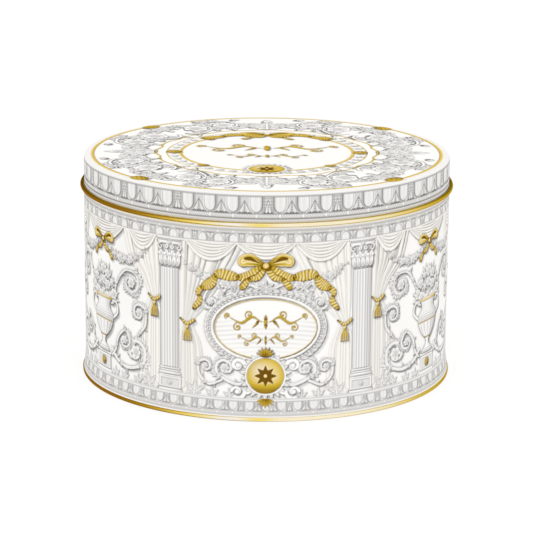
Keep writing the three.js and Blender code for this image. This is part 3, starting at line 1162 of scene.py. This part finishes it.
def urn(art, centre, foot, tall):
    """A gadrooned urn with two scrolled handles and gilt rings, turned like a baluster"""
    profile = ((0, .20), (.03, .20), (.035, .185), (.07, .17), (.12, .09), (.16, .055), (.22, .05),
               (.27, .085), (.285, .11), (.33, .17), (.42, .255), (.52, .31), (.60, .335), (.66, .335),
               (.70, .32), (.74, .29), (.80, .235), (.86, .215), (.92, .235), (.955, .27), (.96, .30),
               (1.0, .30))
    t = (art.v - foot) / tall
    half = tall * np.interp(t, *zip(*profile))
    x = art.u - centre
    inside = (t > 0) & (t < 1) & (np.abs(x) < half)
    s = np.clip(x / half, -1, 1)
    turn = np.arcsin(s)
    bowl = (t > 0.285) & (t < 0.56)
    neck = (t > 0.745) & (t < 0.94)
    tone = 0.03 + 0.30 * np.clip(s - 0.15, 0, 1) ** 1.3 + 0.20 * np.clip(-s - 0.6, 0, 1)
    tone = tone + bowl * 0.20 * np.clip(np.cos(14 * turn), 0, 1)
    tone = tone + neck * 0.12 * np.clip(np.cos(18 * turn), 0, 1)
    for height in (.03, .07, .27, .285, .565, .585, .70, .74, .945, .96):
        tone = np.maximum(tone, 0.45 * stroke((t - height) * tall, 0.22))
    rings = np.hypot((turn * 5.2 + 20.5) % 1.0 - 0.5, (t - 0.635) / 0.09)
    tone = np.where((np.abs(t - 0.635) < 0.05) & (np.abs(rings - 0.36) < 0.09), 0.38, tone)
    gilt = (t > 0.957) | (np.abs(t - 0.275) < 0.012) | (np.abs(t - 0.575) < 0.010)
    for side in (-1, 1):
        at = [np.array([centre + side * px * tall, foot + py * tall])
              for px, py in ((.30, .62), (.47, .78), (.42, .95), (.27, .90))]
        brush(art, course(at, 31), np.linspace(0.9, 0.6, 31), 0.6, 1.0, 0.5)
        eye = (centre + side * .335 * tall, foot + .93 * tall)
        curl = spiral(eye, 1.6, pi / 2 - side, 1.0, side, 31)
        brush(art, curl, np.linspace(0.5, 0.3, 31), 0.5, 1.2)
    art.darken((t > 0) & (t < 1) & (np.abs(np.abs(x) - half - 0.13) < 0.16), 0.5)
    art.lay(everywhere, inside, 1.2 + 0.9 * np.cos(turn) + 0.1 * bowl * np.cos(14 * turn), tone, gilt)


def bouquet(art, centre, spread, tall):
    """Roses and daisies over a fan of leaves, to fill the urn"""
    draw = np.random.default_rng(7)
    c = np.asarray(centre, float)
    for a in np.linspace(0.02, 0.98, 15) * pi:
        way = np.array([cos(a) * spread, sin(a) * tall])
        bend = draw.uniform(-1, 1, 2)
        rib = [c + way * 0.25, c + way * 0.62 + bend, c + way * draw.uniform(0.92, 1.1)]
        frond(art, rib, 4.6, 5, 0.4, fat=1.25)
    rows = ((0.78, 7), (0.5, 5), (0.22, 3))
    spots = [(a, r) for r, count in rows for a in np.linspace(0.1, 0.9, count)]
    for k, (a, r) in enumerate(spots):
        spot = c + np.array([cos(pi * a) * spread, sin(pi * a) * tall]) * r + draw.uniform(-0.5, 0.5, 2)
        bloom = daisy if k % 3 == 1 else rose
        bloom(art, spot, draw.uniform(2.9, 3.7), base=1.2 + 0.02 * k, first=draw.uniform(0, 6))


bays = 6
bay_half = tau * wall_face / bays / 2
bay_low, bay_high = foot_high, 111.5


def softened(layer, reach):
    """Averages a layer over this many cells to each side"""
    for axis in (0, 1):
        size = layer.shape[axis]
        width = 2 * reach + 1
        wrapped = np.take(layer, range(-reach - 1, size + reach), axis, mode="wrap")
        total = np.cumsum(wrapped, axis, dtype=np.float64)
        before, after = (np.take(total, range(first, size + first), axis) for first in (0, width))
        layer = (after - before) / width
    return layer


def shaded(art, gain=0.30, deep=0.45, thrown=0.42, crisp=0.5, glint=0.4):
    """Works the relief up into grey: slopes away from the upper left darken, so do hollows, and high
    parts throw shadows down to the right; then every tone is set off against its surroundings, and
    the gold is left pale where it is lightest"""
    sun = (-0.55, 0.83)
    rise_up, rise_across = np.gradient(blended(art.relief, 2), 1 / art.fine)
    slope = gain * np.clip(rise_across * sun[0] + rise_up * sun[1], -0.6, 1.6)
    hollow = deep * np.clip(softened(softened(art.relief, 6), 5) - art.relief, 0, 0.9)
    edge_of_light = art.relief
    for _ in range(2 * art.fine):
        moved = np.roll(edge_of_light, (-1, 1), (0, 1)) - 0.5 / art.fine
        moved[-1] = 0
        edge_of_light = np.maximum(art.relief, moved)
    shadow = thrown * blended(np.clip(edge_of_light - art.relief, 0, 1), 2)
    ink = art.ink + np.where(slope > 0, slope, 0.45 * slope) + hollow + shadow
    art.ink = np.clip(ink + crisp * (ink - softened(ink, 4)), 0, 1).astype(np.float32)
    art.gold *= 1 - glint * np.clip(1 - art.ink / 0.2, 0, 1)
    return art


def curtained_bay(inner, tie):
    art = Artwork(-bay_half, bay_half, bay_low, bay_high, 5)
    washed(art)
    for side in (-1, 1):
        drapes(art, side, inner, tie)
    return art


def plaque_bay():
    art = curtained_bay(16.0, (50.5, 60.0))
    for side in (-1, 1):
        for stem, *curl in (
            (((4, 30), (10, 25), (18, 23), (27, 27)), (25, 33), 1.4, 1, 1.0),
            (((27, 25), (35, 22), (41, 27), (42, 33)), (37.5, 33.5), 1.3, 1, 0.8),
            (((5, 84), (12, 87), (20, 86.5), (26, 81)), (22, 78), 1.3, -1, 0.9),
            (((22, 86), (30, 86), (36, 81), (38.5, 75)), (34, 74), 1.3, -1, 0.8),
        ):
            leafy_scroll(art, side, stem, *curl, 0.9)
    swag(art, (-54, 113.5), (-15, 112.5), 12, 6)
    swag(art, (15, 112.5), (54, 113.5), 12, 6)
    swag(art, (-22, 113), (22, 113), 10, 5)
    festoon(art, (-52, 99), (-4, 92), 4)
    festoon(art, (4, 92), (52, 99), 9)
    plaque(art, (0, 58.5), 31, 18.5)
    flourish(art, (0, 63.0), 24)
    flourish(art, (0, 51.5), 16)
    for side in (-1, 1):
        for points, half, folds in (
            (((38, 84), (42, 80), (41, 75), (45, 69)), 2.0, 2),
            (((3, 97), (11, 91), (20, 91), (29, 92), (34, 86), (39, 83)), 3.4, 3),
        ):
            ribbon(art, [(side * x, y) for x, y in points], half, folds, 1.3)
    palmette(art, (0, 81), (0, 1), 8, 4)
    bow(art, (0, 98), 10.5)
    medallion(art, (0, 28.8), 11.6)
    for side in (-1, 1):
        for x, tall, lean in ((22, 5.5, -0.1), (33, 6.5, 0.0), (45, 10, 0.12)):
            tuft(art, side * x, tall, side * lean)
    for edge in (-bay_half, bay_half):
        column(art, edge)
    return shaded(art, 0.26, 0.26, 0.28)


def urn_bay():
    art = curtained_bay(26.0, (51.0, 72.0))
    swag(art, (-54, 113.5), (-27, 112.5), 11, 5)
    swag(art, (27, 112.5), (54, 113.5), 11, 5)
    swag(art, (-29, 113.5), (29, 113.5), 13, 7)
    for side in (-1, 1):
        for stem, *curl in (
            (((11, 60), (16, 74), (24, 84), (33, 84.5)), (30.5, 77.5), 1.4, -1, 0.7, 0.9),
            (((30, 33), (36, 44), (42.5, 52), (43.5, 60)), (37.5, 60), 1.4, 1, 0.8, 0.8),
            (((10, 31), (17, 25), (27, 22.5), (37, 25)), (34.5, 34), 1.45, 1, 1.1, 0.8),
            (((11, 27), (15, 32), (17.5, 40), (23.5, 45.5)), (24, 39.5), 1.3, -1, 0.8, 0.8),
        ):
            leafy_scroll(art, side, stem, *curl)
        for x, tall, lean in ((15, 6, 0.1), (24, 6, -0.1), (46, 10, 0.15), (36, 6, -0.1)):
            tuft(art, side * x, tall, side * lean)
    slab(art, 0, 9.5, bay_low, bay_low + 2.0, 1.0, 0.08)
    slab(art, 0, 8.2, bay_low + 2.1, bay_low + 11.5, 0.9, 0.09)
    slab(art, 0, 6.6, bay_low + 3.6, bay_low + 10.0, 0.8, 0.16, 0.42)
    boss(art, (0, bay_low + 6.8), 2.7, 8)
    slab(art, 0, 9.2, bay_low + 11.6, bay_low + 13.2, 1.1, 0.05)
    bouquet(art, (0, 61.5), 17, 24)
    urn(art, 0, bay_low + 13.3, 36)
    for side in (-1, 1):
        festoon(art, (side * 4, 99), (side * 45, 102), 5, 2.6, 7)
    bow(art, (0, 100), 8.0)
    for edge in (-bay_half, bay_half):
        column(art, edge)
    return shaded(art)


bay_art = (plaque_bay(), urn_bay())
for bay in range(bays):
    middle = tau * bay / bays
    panel = rolled_wall(f"wall_bay_{bay}", bay_low, bay_high, middle - pi / bays, wall_groups // bays)
    print_wall(panel, bay_art[bay % 2], middle)

# The top of the body: the same small moulding turned over, hung under the lid's bead, and the plain
# enamelled neck of the body that the lid slips down over.
lid_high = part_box("lid")[1]
emboss_room = 0.1
lid_top = lid_high.z / mm - emboss_room
neck_under_lid = 1.8
neck_high = lid_top - neck_under_lid
neck_set_in = 0.8
band_high = 122.6
top_rules = ((111.8, 0.4, 0.03, 0.9), (112.3, 0.3, 0.35, 0.5), (118.1, 0.35, 0.42, 0.3),
             (119.9, 1.0, 0.36, 0.3))
top_art = small_moulding(bay_high, band_high, rounds=117.9, flats=112.3, pearl_row=118.8,
                         rules=top_rules)
bare_above = 121.4
top_art.ink[top_art.v > bare_above] = 0.0
neck = wall_face - neck_set_in
top_section = [(wall_face, bay_high), (wall_face, band_high), (neck, band_high + 0.6),
               (neck, neck_high), (neck - sheet, neck_high), (neck - sheet, bay_high)]
top_cuts = round((band_high - bay_high) / cell) - 1
top_band = spun("top_band", top_section, group_steps, wall_groups, cuts=top_cuts)
print_wall(top_band, top_art, 0, rows=6, closes=True)

# The lid's skirt: the drawn edge of the lid, with a bold egg and dart over a rope of pearls, and the
# rounded shoulder left white. The lid is one sheet of tinplate, printed flat and then drawn.
lid_sheet = 0.5
shoulder = 2.0
lid_radius = 117.4
flat_radius = lid_radius - shoulder
shoulder_z = lid_top - shoulder
skirt_low = 124.8
skirt_groups = 18
skirt_steps = 96
skirt_eggs = 52
skirt_pitch = tau * lid_radius / skirt_eggs
# The skirt's drawing lies this far round to the right of the front
skirt_turn = 1.0
rope_height = 128.8
eggs_low = 130.2
eggs_high = 140.9


def skirt_moulding():
    """Half way round: groups of three or four eggs between reeds"""
    drawn_low, drawn_high = 124.4, shoulder_z + shoulder * pi / 2 + 0.2
    art = Artwork(-13 * skirt_pitch, 13 * skirt_pitch, drawn_low, drawn_high, 10)
    eggs = [skirt_pitch * (k + 0.5) for k in range(-14, 14)]
    reed_places = (-13, -10, -7, -4, 0, 3, 7, 10, 13)
    darts = [skirt_pitch * k for k in range(-12, 13) if k not in reed_places]
    reeds = [skirt_pitch * k for k in reed_places]
    egg_and_dart(art, eggs, darts, reeds, eggs_low, eggs_high, 3.5, 1.0)
    over_rope = art.v - rope_height
    strand = over_rope / 1.4
    twist = np.sin(tau * 9 * (art.u + 0.8 * over_rope) / skirt_pitch)
    art.lay(everywhere, np.abs(strand) < 1, 0.2 + 0.5 * (1 - strand**2) * (0.7 - 0.3 * twist),
            0.03 + 0.5 * np.clip(twist, 0, 1) ** 1.5 + 0.12 * strand**2)
    # The faint wide band at 125.5, just over the bead, is painted shade where the roll meets the skirt
    for height, width, tone in ((eggs_low, 0.5, 0.6), (127.1, 0.9, 0.62), (125.5, 1.2, 0.16),
                                (141.15, 0.5, 0.5)):
        art.darken(stroke(art.v - height, width), tone)
    pearls(art, eggs, rope_height, 0.75, 1.15)
    white_from = 141.4
    art.ink += np.where(art.v < white_from, 0.03, 0.06)
    return art


skirt_section = [(lid_radius, skirt_low), *arc_points(flat_radius, shoulder_z, shoulder, 0, 90, 6),
                 *arc_points(flat_radius, shoulder_z, shoulder - lid_sheet, 90, 0, 4),
                 (lid_radius - lid_sheet, skirt_low)]
skirt_cuts = round((shoulder_z - skirt_low) / cell) - 1
lid_skirt = spun("lid_skirt", skirt_section, skirt_steps, skirt_groups, cuts=skirt_cuts)
spots, angle, radius = corners(lid_skirt)
around_edge = np.arctan2(spots[:, 2] - shoulder_z, radius - flat_radius).clip(0, pi / 2)
reach_out = np.hypot(radius - flat_radius, np.maximum(spots[:, 2] - shoulder_z, 0))
on_skirt = reach_out > shoulder - on_face_within
finish_print(lid_skirt, skirt_moulding(), "lid", angle * lid_radius - skirt_turn,
             np.minimum(spots[:, 2], shoulder_z) + shoulder * around_edge, on_skirt,
             from_axis(spots, radius), rows=6, closes=True)

# The lid's bead: the edge of the skirt curled outwards into a hollow roll and lacquered gold, with
# painted shade laid dark along the crease between the roll and the skirt, most at the tin's two sides
bead_round = 1.45
bead_radius = lid_high.x / mm - bead_round
bead_height = 123.6
bead_bite = 0.15
bead_half = 180 - degrees(acos((bead_radius - lid_radius + bead_bite) / bead_round))
bead_section = arc_points(bead_radius, bead_height, bead_round, -bead_half, bead_half, 24)
lid_bead = spun("lid_bead", bead_section, steps=48, copies=8)
spots, angle, radius = corners(lid_bead)
steepness = np.degrees(np.arctan2(spots[:, 2] - bead_height, radius - bead_radius))
# Painted shade on the roll's upper inner side, where it meets the skirt, strongest at the tin's two
# sides
fold_shade_from, fold_shade_full = 34, 50
fold_shade_share = ((steepness - fold_shade_from) / (fold_shade_full - fold_shade_from)).clip(0, 1) * np.abs(np.sin(angle)) ** 5
fold_shade_layer = lid_bead.data.attributes.new("painted_fold_shade", "FLOAT", "POINT")
fold_shade_layer.data.foreach_set("value", fold_shade_share.astype(np.float32))
finish_piece(lid_bead, gold_lacquer, "gold_lacquer", "lid")

# The lid's top: bold scrolls of acanthus about big roses, four times round between gold rings, and a
# white field with a gold ring, bosses, a bow, a flower disc and two pen flourishes. It is printed and
# embossed like the wall.
frieze_middle = 90.5
frieze_low = 65.0
repeats = 4
repeat_half = pi * frieze_middle / repeats


def gold_rule(art, distance, width):
    """A gold line with a darker edge, raised a little"""
    share = np.clip(np.abs(distance) / (width / 2), 0, 1)
    art.lay(everywhere, stroke(distance, width), 0.4 * dome(share), 0.07 + 0.1 * share**3, 1.0)


def big_scroll(art, side, stem, heart, turns, way, bloom):
    """A thick stalk that curls round a rose, with six broad leaves flung off it"""
    c, radius, _, path = winding(side, stem, heart, turns, way, 61, 0.45, 5, 40)
    for place, size, lean in ((56, 1.0, 0.5), (44, 1.2, 0.65), (30, 1.2, 0.8), (22, 0.9, -0.7),
                              (12, 0.9, -0.9), (5, 0.8, 0.9)):
        along = heading(path, place, 3)
        root, out = path[place], turned_by(along, -way * side * lean)
        tip = root + out * radius * size
        bend = (root + tip) / 2 + turned_by(out, way * side * 1.4) * radius * 0.18
        frond(art, [root, bend, tip], radius * size * 0.55, 5, 0.5 + 0.01 * place, fat=2.0)
    brush(art, path, np.linspace(1.1, 0.6, len(path)), 0.7, 1.1, 0.6, 0.3)
    rose(art, c, bloom, 1.5)


def scroll_frieze():
    art = Artwork(-repeat_half, repeat_half, frieze_low, flat_radius, 5)
    u, v = art.u, art.v
    for side in (-1, 1):
        palmette(art, (side * repeat_half, 73), (0, 1), 29)
        palmette(art, (0, 106), (0, -1), 17)
        big_scroll(art, side, ((4, 79), (8, 74), (16, 73), (25, 78)), (19, 88), 0.8, 1, 8.0)
        big_scroll(art, side, ((30, 102), (38, 105), (46, 102), (50, 96)), (41, 91), 0.8, -1, 7.2)
        for x, y, size in ((31, 77, 3.4), (52, 106, 3.0), (9, 103, 2.8), (60, 80, 3.0)):
            daisy(art, (side * x, y), size, 6, 1.2)
        palmette(art, (side * 34, 108), (side * -0.6, -0.8), 9, 4)
    art.ink[:] = np.where(art.relief > 0.2, 0.02 + art.ink, art.ink)
    wave = 69.2 + 2.4 * np.abs(np.cos(pi * u / repeat_half * 2))
    gold_rule(art, v - wave, 1.2)
    gold_rule(art, v - 111.9, 1.9)
    boss(art, (0, 110.4), 5.0, 8)
    bare_edge = v > 113.8
    art.ink[bare_edge] = 0.06
    art.relief[bare_edge] = 0.0
    return shaded(art, 0.42, 0.55, 0.6, 0.8, 0.1)


def lid_centre():
    art = Artwork(-frieze_low, frieze_low, -frieze_low, frieze_low, 5)
    d = np.hypot(art.u, art.v)
    art.ink[:] = 0.01
    leaves = 44
    for k in range(leaves):
        out = pointing(tau * (k + 0.5) / leaves)
        along = turned_by(out, pi / 2) * (1 if out[0] > 0 else -1)
        for lean in (-0.7, 0.7, 0.0):
            root = out * (60.3 - 0.9 * lean) - along * 1.6
            leaf(art, root, root + turned_by(along, lean) * 4.6, 1.2, 0.1 * lean, 0.6, edge=0.4)
    gold_rule(art, d - 55.4, 2.0)
    gold_rule(art, d - 64.2, 0.6)
    for side in (-1, 1):
        boss(art, (side * 60, 0), 4.6, 10)
        for x, y in ((38, 40), (40, -40)):
            boss(art, (side * x, y), 3.4, 8)
        band = ((3, 55), (13, 52), (22, 54), (32, 47), (42, 43))
        ribbon(art, [(side * x, y) for x, y in band], 4.4, 3, 1.0)
    bow(art, (0, 55), 11, 1.2)
    flower_disc(art, (0, -50), 11.5)
    flourish(art, (0, 12), 43, 0.16, 0.3)
    flourish(art, (0, -12), 24, 0.16, 0.3)
    return shaded(art, 0.3, 0.4, glint=0.2)


def print_top(piece, art, across, up):
    """Prints the flat of the lid, whose upper face is the printed one"""
    height = corners(piece)[0][:, 2]
    away = np.stack([0 * height, 0 * height, np.ones(len(height))], 1)
    finish_print(piece, art, "lid", across, up, height > lid_top - on_face_within, away)


def flat_ring(inner, outer):
    """The section of a ring of the lid's flat sheet"""
    under = lid_top - lid_sheet
    return [(inner, lid_top), (outer, lid_top), (outer, under), (inner, under)]


frieze_art = scroll_frieze()
flat_cell = 0.5
frieze_cuts = round((flat_radius - frieze_low) / flat_cell) - 1
frieze_pieces = 3
for part in range(frieze_pieces):
    start = tau * part / frieze_pieces
    panel = spun(f"lid_frieze_{part}", flat_ring(frieze_low, flat_radius), steps=40, copies=12,
                 cuts=frieze_cuts, start=start, arc=tau / frieze_pieces)
    spots, angle, radius = corners(panel)
    middle = start + pi / frieze_pieces
    across = (angle_from(middle, angle) + middle) * frieze_middle + repeat_half
    print_top(panel, frieze_art, across, radius)

centre_cuts = round(frieze_low / flat_cell) - 1
centre_disc = spun("lid_centre", flat_ring(0, frieze_low), steps=36, copies=20, cuts=centre_cuts,
                   closed=False)
spots = corners(centre_disc)[0]
print_top(centre_disc, lid_centre(), spots[:, 0], spots[:, 1])
